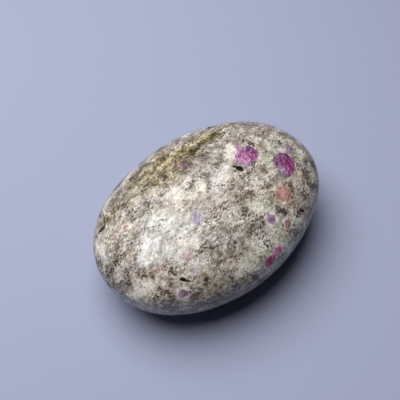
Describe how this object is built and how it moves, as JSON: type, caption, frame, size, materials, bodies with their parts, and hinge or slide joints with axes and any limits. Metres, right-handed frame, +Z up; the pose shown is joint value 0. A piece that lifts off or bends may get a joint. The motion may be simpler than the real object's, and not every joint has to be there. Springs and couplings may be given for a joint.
{
  "type": "polished ruby in albite palm stone",
  "caption": "Rounded, polished palm stone of speckled pale rock with magenta ruby crystals cut flush; lies on a small flat spot.",
  "frame": {"origin": "on the flat spot that the stone rests on, under the middle of its bounding box", "axes": "+X along the stone's long axis towards its narrower end, +Y across it towards the iron-stained flank, +Z up through the crown"},
  "size_m": [0.0606, 0.0428, 0.0239],
  "materials": {
    "polished_rock": "polished albite rock: cream and greige grains with fine dark mica flecks, grey-green zones, an olive-brown iron-stained band and magenta ruby crystals, under a soft gloss"
  },
  "bodies": {
    "root": {"palm_stone": "polished_rock"}
  },
  "joints": []
}
